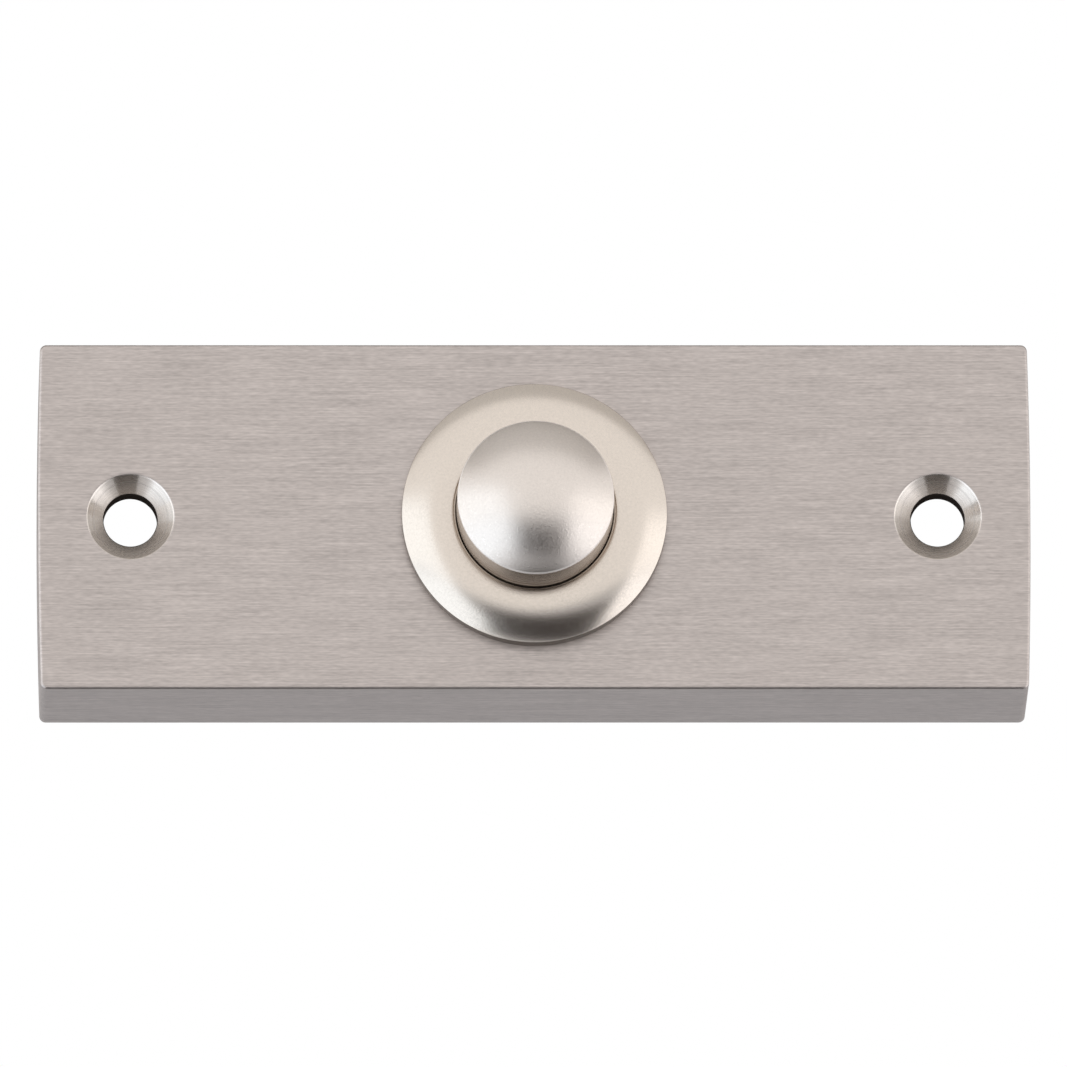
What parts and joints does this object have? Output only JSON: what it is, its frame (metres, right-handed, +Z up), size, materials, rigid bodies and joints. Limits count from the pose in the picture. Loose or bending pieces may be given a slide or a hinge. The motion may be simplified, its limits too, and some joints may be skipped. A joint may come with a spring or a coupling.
{
  "type": "doorbell push button",
  "caption": "Wall-mounted doorbell push: rectangular hollow-backed plate with countersunk screw holes and a domed, sprung button in a round collar.",
  "frame": {"origin": "middle of the plate's back, in the wall plane, on the axis of the push", "axes": "+X along the plate's long side, +Z up, and the front faces -Y, so +Y points into the wall"},
  "size_m": [0.076, 0.021, 0.027],
  "materials": {
    "brushed_nickel": "satin",
    "satin_nickel": "satin",
    "turned_brass": "satin",
    "brass_terminal": "satin",
    "phosphor_bronze": "satin",
    "zinc_steel": "satin",
    "spring_steel": "satin",
    "white_nylon": "matte",
    "black_phenolic": "satin"
  },
  "bodies": {
    "housing": {"face_plate": "brushed_nickel", "bezel_collar": "satin_nickel", "lock_washer": "zinc_steel", "ring_nut": "turned_brass", "return_spring": "spring_steel", "contact_base": "black_phenolic", "retaining_ring": "spring_steel", "contact_stud_left": "brass_terminal", "contact_stud_right": "brass_terminal", "stud_lock_nut_left": "brass_terminal", "stud_lock_nut_right": "brass_terminal", "inner_washer_left": "brass_terminal", "inner_washer_right": "brass_terminal", "outer_washer_left": "brass_terminal", "outer_washer_right": "brass_terminal", "terminal_nut_left": "brass_terminal", "terminal_nut_right": "brass_terminal"},
    "button": {"push_button": "satin_nickel", "insulating_bush": "white_nylon", "contact_bridge": "phosphor_bronze", "bridge_clip": "spring_steel"}
  },
  "joints": [
    {"name": "button_press", "type": "slide", "parent": "housing", "child": "button", "axis": [0, 1, 0], "range_m": [0, 0.0016], "stiffness_N_per_m": 1500, "springref_m": -0.002, "deforming": ["return_spring"]}
  ]
}
